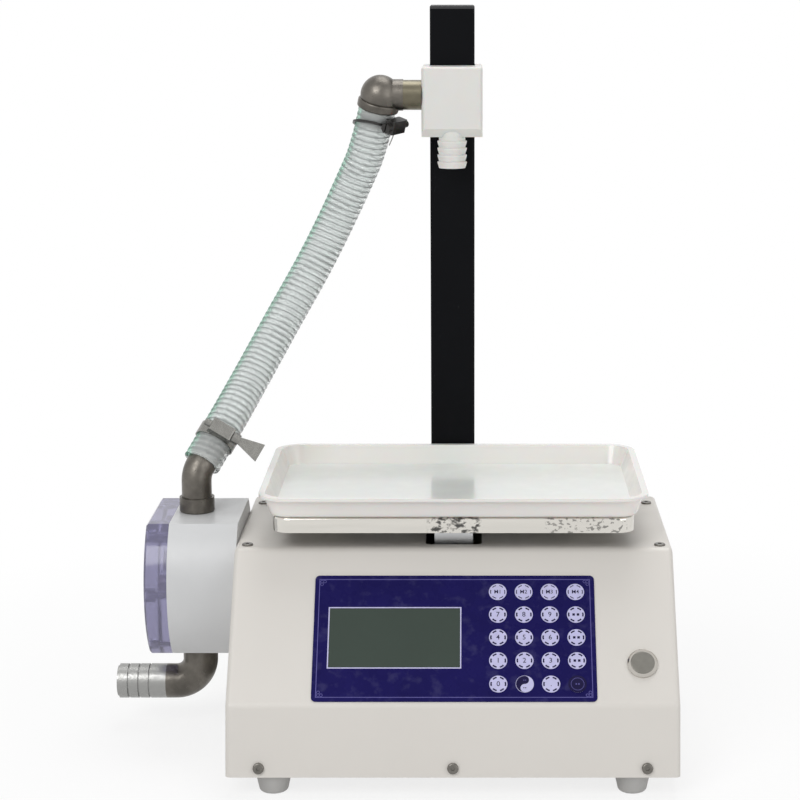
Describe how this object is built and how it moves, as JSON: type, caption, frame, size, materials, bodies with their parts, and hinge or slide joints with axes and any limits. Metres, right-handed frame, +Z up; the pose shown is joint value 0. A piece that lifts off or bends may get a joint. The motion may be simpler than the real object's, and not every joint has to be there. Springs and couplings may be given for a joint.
{
  "type": "weighing filling machine",
  "caption": "Bench filling machine: gear pump on a scale's case, clear hose, and a barbed nozzle on a mast that fills a bottle standing in the tray on the weighing platter.",
  "frame": {"origin": "on the table, under the middle of the case", "axes": "+X to the right of someone at the keys, +Y to the rear, +Z up along the mast"},
  "size_m": [0.4445, 0.3313, 0.578],
  "materials": {
    "ivory_paint": "powder coat",
    "zinc_steel": "zinc plated",
    "grey_rubber": "matte",
    "black_rubber": "matte",
    "indigo_film": "gloss film",
    "lilac_keys": "embossed film",
    "display_glass": "clear",
    "dark_plastic": "moulded",
    "bright_ring": "polished",
    "button_white": "gloss",
    "switch_red": "gloss",
    "cell_aluminium": "machined",
    "mirror_steel": "polished",
    "milky_tray": "gloss",
    "black_paint": "satin",
    "milky_block": "satin",
    "white_pump": "machined",
    "lilac_acrylic": "clear tinted",
    "cast_steel": "cast",
    "brass_neck": "plated",
    "bright_steel": "polished",
    "bronze": "sintered",
    "clear_hose": "clear with steel spiral",
    "green_board": "solder mask"
  },
  "bodies": {
    "machine": {"base_plate": "ivory_paint", "button_housing": "bright_ring", "button_nut": "dark_plastic", "control_board": "green_board", "cover_bolts": "zinc_steel", "cover_seal": "black_rubber", "display_module": "dark_plastic", "display_window": "display_glass", "foot_screws": "zinc_steel", "front_screws": "zinc_steel", "hose": "clear_hose", "housing_shell": "ivory_paint", "inlet_elbow": "cast_steel", "load_cell": "cell_aluminium", "load_cell_bolts": "zinc_steel", "load_cell_riser": "cell_aluminium", "load_cell_spacer": "cell_aluminium", "load_cell_stand": "zinc_steel", "lower_clamp_band": "bright_steel", "mast": "black_paint", "mast_bolts": "zinc_steel", "mast_bracket": "zinc_steel", "mast_cap": "dark_plastic", "motor": "black_paint", "motor_lantern": "cell_aluminium", "outlet_elbow": "cast_steel", "panel_keys": "lilac_keys", "panel_overlay": "indigo_film", "platter_pads": "black_rubber", "platter_spider": "cell_aluminium", "power_inlet": "dark_plastic", "power_supply": "cell_aluminium", "pump_body": "white_pump", "pump_cover": "lilac_acrylic", "pump_screws": "zinc_steel", "rear_panel": "ivory_paint", "rear_screws": "zinc_steel", "rubber_feet": "grey_rubber", "shaft_bushes": "bronze", "shaft_seal": "black_rubber", "switch_frame": "dark_plastic", "top_screws": "zinc_steel"},
    "carriage": {"nozzle_block": "milky_block", "filling_nozzle": "milky_block", "top_nipple": "brass_neck", "top_elbow": "cast_steel", "upper_clamp_band": "bright_steel"},
    "knob": {"lock_knob": "dark_plastic"},
    "upper_worm": {"upper_clamp_screw": "bright_steel"},
    "lower_worm": {"lower_clamp_screw": "bright_steel"},
    "button": {"button_cap": "button_white"},
    "rocker": {"switch_rocker": "switch_red"},
    "platter": {"weighing_platter": "mirror_steel"},
    "tray": {"product_tray": "milky_tray"},
    "drive_rotor": {"drive_gear": "bright_steel", "drive_shaft": "bright_steel", "shaft_coupling": "cell_aluminium", "motor_shaft": "bright_steel"},
    "driven_rotor": {"driven_gear": "bright_steel", "driven_shaft": "bright_steel"}
  },
  "joints": [
    {"name": "nozzle_height", "type": "slide", "parent": "machine", "child": "carriage", "axis": [0, 0, 1], "range_m": [-0.15, 0.045], "deforming": ["hose"]},
    {"name": "lock_knob_turn", "type": "hinge", "parent": "carriage", "child": "knob", "pos_m": [-0.002, 0.19, 0.5005], "axis": [0, 1, 0], "range_deg": [-360, 0]},
    {"name": "upper_clamp_turn", "type": "hinge", "parent": "carriage", "child": "upper_worm", "pos_m": [-0.04797, 0.12209, 0.48098], "axis": [-0.5264, -0.8477, -0.0655], "range_deg": [-360, 0]},
    {"name": "lower_clamp_turn", "type": "hinge", "parent": "machine", "child": "lower_worm", "pos_m": [-0.18616, 0.03641, 0.24488], "axis": [0.8518, -0.0052, -0.5238], "range_deg": [-360, 0]},
    {"name": "button_press", "type": "slide", "parent": "machine", "child": "button", "axis": [0, 0.7495, -0.662], "range_m": [0, 0.0015], "stiffness_N_per_m": 800, "springref_m": -0.001},
    {"name": "power_switch", "type": "hinge", "parent": "machine", "child": "rocker", "pos_m": [-0.062, 0.1315, 0.062], "axis": [1, 0, 0], "range_deg": [-18, 0]},
    {"name": "platter_lift", "type": "slide", "parent": "machine", "child": "platter", "axis": [0, 0, 1], "range_m": [0, 0.03]},
    {"name": "tray_lift", "type": "slide", "parent": "platter", "child": "tray", "axis": [0, 0, 1], "range_m": [0, 0.06]},
    {"name": "drive_gear_spin", "type": "hinge", "parent": "machine", "child": "drive_rotor", "pos_m": [-0.2, 0.05525, 0.126], "axis": [1, 0, 0], "continuous": true},
    {"name": "driven_gear_spin", "type": "hinge", "parent": "machine", "child": "driven_rotor", "pos_m": [-0.2, 0.01475, 0.126], "axis": [1, 0, 0], "continuous": true}
  ],
  "couplings": [
    {"joint": "driven_gear_spin", "follows": "drive_gear_spin", "ratio": -1}
  ]
}
